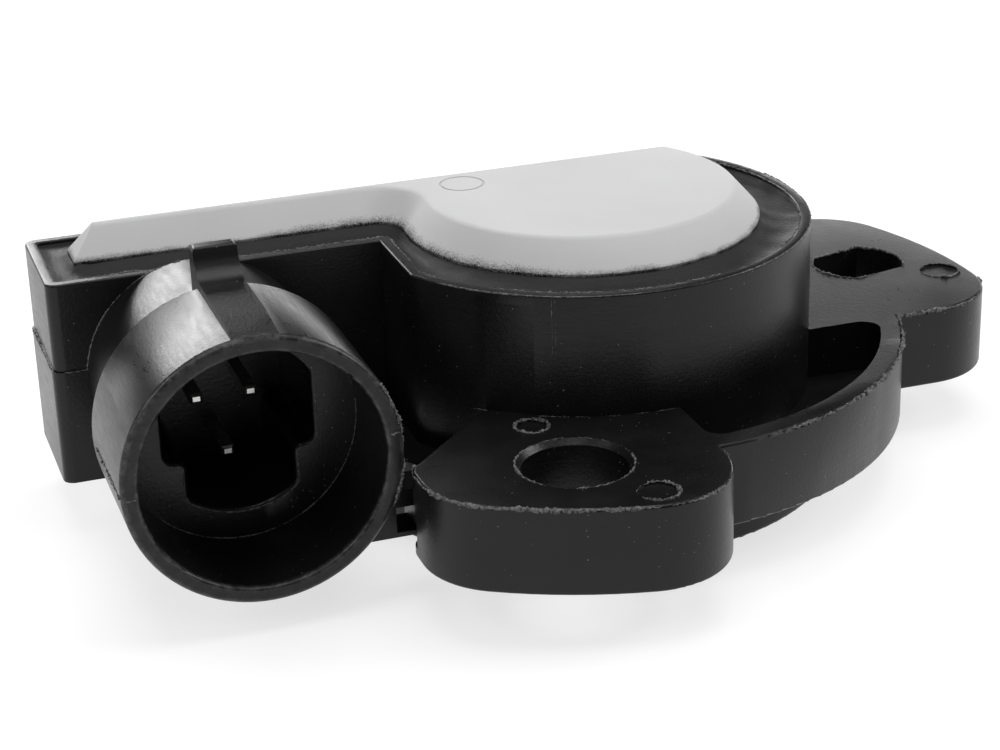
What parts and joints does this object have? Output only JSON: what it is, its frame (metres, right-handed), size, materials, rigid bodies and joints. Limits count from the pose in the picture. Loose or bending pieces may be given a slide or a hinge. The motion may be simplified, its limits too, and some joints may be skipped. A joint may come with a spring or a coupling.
{
  "type": "throttle position sensor",
  "caption": "Rotary position sensor: moulded drum housing with a sealed grey cover, eared mounting flange, pilot spigot, sprung rotor with a drive slot, and a round keyed connector.",
  "frame": {"origin": "on the rotor's axis, at the flange's mounting face", "axes": "+Z along the rotor's axis towards the cover, -X along the terminal arm, -Y out of the connector's mouth"},
  "size_m": [0.0852, 0.0599, 0.0279],
  "materials": {
    "housing_plastic": "black moulded plastic, satin",
    "cover_plastic": "grey moulded plastic, powdery satin",
    "sealant": "black potting compound",
    "board_ceramic": "off-white ceramic",
    "carbon_ink": "printed carbon",
    "silver_ink": "printed silver",
    "tinned_brass": "tin plate",
    "solder": "dull solder",
    "rotor_plastic": "moulded acetal, satin",
    "wiper_metal": "stamped spring alloy",
    "spring_steel": "drawn spring wire",
    "seal_rubber": "moulded rubber"
  },
  "bodies": {
    "sensor_body": {"housing": "housing_plastic", "cover": "cover_plastic", "cover_sealant": "sealant", "element_board": "board_ceramic", "resistive_track": "carbon_ink", "collector_track": "silver_ink", "terminal_supply": "tinned_brass", "terminal_signal": "tinned_brass", "terminal_ground": "tinned_brass", "solder_joints": "solder", "return_spring": "spring_steel", "shaft_seal": "seal_rubber"},
    "rotor_body": {"rotor": "rotor_plastic", "wiper": "wiper_metal"}
  },
  "joints": [
    {"name": "rotor_turn", "type": "hinge", "parent": "sensor_body", "child": "rotor_body", "pos_m": [0, 0, 0], "axis": [0, 0, 1], "range_deg": [0, 100], "stiffness_Nm_per_rad": 0.01, "springref_deg": -20.05, "deforming": ["return_spring"]}
  ]
}
